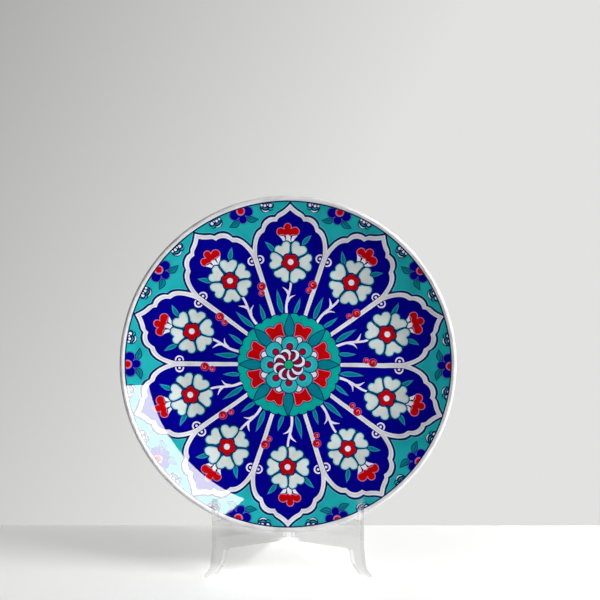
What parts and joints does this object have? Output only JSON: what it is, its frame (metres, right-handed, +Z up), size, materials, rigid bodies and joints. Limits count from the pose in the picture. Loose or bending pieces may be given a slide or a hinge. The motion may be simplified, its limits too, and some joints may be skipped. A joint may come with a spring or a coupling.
{
  "type": "decorative ceramic dish on easel",
  "caption": "Round painted and glazed ceramic dish with a foot ring, leaning on a folding clear plastic easel whose two hinged halves carry its rim on hooked arms.",
  "frame": {"origin": "middle of the footprint, on the surface that the easel's feet stand on", "axes": "+Z up; the painted face looks toward -Y, so +Y is depth, front to back; +X runs across the dish"},
  "size_m": [0.3, 0.1313, 0.3315],
  "materials": {
    "clay": "matte",
    "painted_glaze": "gloss",
    "plain_glaze": "gloss",
    "clear_plastic": "gloss",
    "steel_pin": "satin"
  },
  "bodies": {
    "easel_left": {"left_half": "clear_plastic", "hinge_pin": "steel_pin"},
    "easel_right": {"right_half": "clear_plastic"},
    "dish": {"clay_body": "clay", "face_glaze": "painted_glaze", "back_glaze": "plain_glaze", "well_glaze": "plain_glaze"}
  },
  "joints": [
    {"name": "dish_lift", "type": "slide", "parent": "easel_left", "child": "dish", "axis": [0, 0, 1], "range_m": [0, 0.32]},
    {"name": "easel_fold", "type": "hinge", "parent": "easel_left", "child": "easel_right", "pos_m": [0, 0.06195, 0.075], "axis": [0, 0, -1], "range_deg": [0, 57.5]}
  ],
  "couplings": [
    {"joint": "easel_fold", "follows": "dish_lift", "rad_per_m": 3.136}
  ]
}
